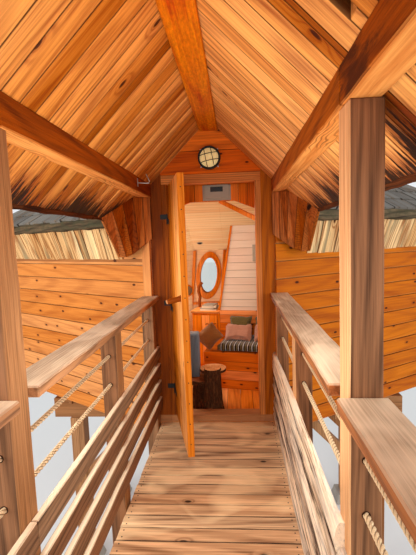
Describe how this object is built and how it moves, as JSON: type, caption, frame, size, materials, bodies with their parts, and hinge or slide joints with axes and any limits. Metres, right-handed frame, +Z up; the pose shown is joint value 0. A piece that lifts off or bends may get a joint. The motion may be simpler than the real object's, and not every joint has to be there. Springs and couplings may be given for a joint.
{
  "type": "tree house with a covered walkway",
  "caption": "Timber tree house on stilts: a covered rope-railed walkway leads to a hinged door in a low board-sided cabin with a hipped roof.",
  "frame": {"origin": "on the ground, under the middle of the whole object's box", "axes": "+Z up, +Y along the walkway from its open end into the cabin, +X to the right of someone walking in"},
  "size_m": [5.3188, 7.8068, 4.9201],
  "materials": {
    "weathered_timber": "oiled, weathered",
    "dark_timber": "stained brown",
    "orange_pine": "oiled pine",
    "cap_timber": "sun-bleached boards",
    "deck_timber": "worn deck boards",
    "grey_slab": "rough sawn, weathered grey",
    "roof_boards": "boards, oiled",
    "shakes": "split wooden shakes, weathered",
    "white_boards": "painted white planks",
    "pale_boards": "pale washed boards",
    "branch_wood": "peeled branch",
    "bark": "dark bark and pale cut wood",
    "rope": "twisted fibre rope",
    "black_iron": "black painted iron",
    "lamp_glass": "ribbed cream glass",
    "window_glass": "clear",
    "concrete": "cast blocks",
    "striped_fabric": "striped weave",
    "pillow_fabric": "woven",
    "grey_metal": "satin paint",
    "heater_metal": "blue-grey enamel"
  },
  "bodies": {
    "root": {"footings": "concrete", "cabin_stilts": "weathered_timber", "stilt_braces": "weathered_timber", "cabin_beams": "weathered_timber", "cabin_floor": "deck_timber", "walkway_beams": "weathered_timber", "walkway_deck": "deck_timber", "tall_posts": "dark_timber", "rail_posts": "dark_timber", "handrails": "cap_timber", "rail_boards_left": "cap_timber", "rail_slabs_right": "grey_slab", "rail_ropes": "rope", "roof_plates": "dark_timber", "ridge_beam": "dark_timber", "walkway_roof_left": "roof_boards", "walkway_roof_right": "roof_boards", "corner_posts": "orange_pine", "door_frame": "orange_pine", "gable_wall": "orange_pine", "frame_hinges": "black_iron", "lamp_body": "black_iron", "lamp_glass": "lamp_glass", "lamp_cage": "black_iron", "eave_cheeks": "dark_timber", "front_walls": "orange_pine", "side_walls": "orange_pine", "back_walls": "orange_pine", "window_wall": "orange_pine", "window_frames": "dark_timber", "window_glass": "window_glass", "eave_band": "grey_slab", "cabin_roof": "shakes", "ceiling": "pale_boards", "dormer_walls": "pale_boards", "entry_bulkhead": "dark_timber", "vent_box": "grey_metal", "room_timbers": "orange_pine", "bench": "orange_pine", "seat_cushion": "striped_fabric", "pillows": "pillow_fabric", "plank_partition": "white_boards", "cabinet": "orange_pine", "stump_table": "bark", "heater": "heater_metal"},
    "door": {"door_leaf": "orange_pine", "door_handle": "branch_wood", "door_hinges": "black_iron"}
  },
  "joints": [
    {"name": "door_hinge", "type": "hinge", "parent": "root", "child": "door", "pos_m": [-0.358, 0.54006, 2.2], "axis": [0, 0, -1], "range_deg": [-75, 15]}
  ]
}
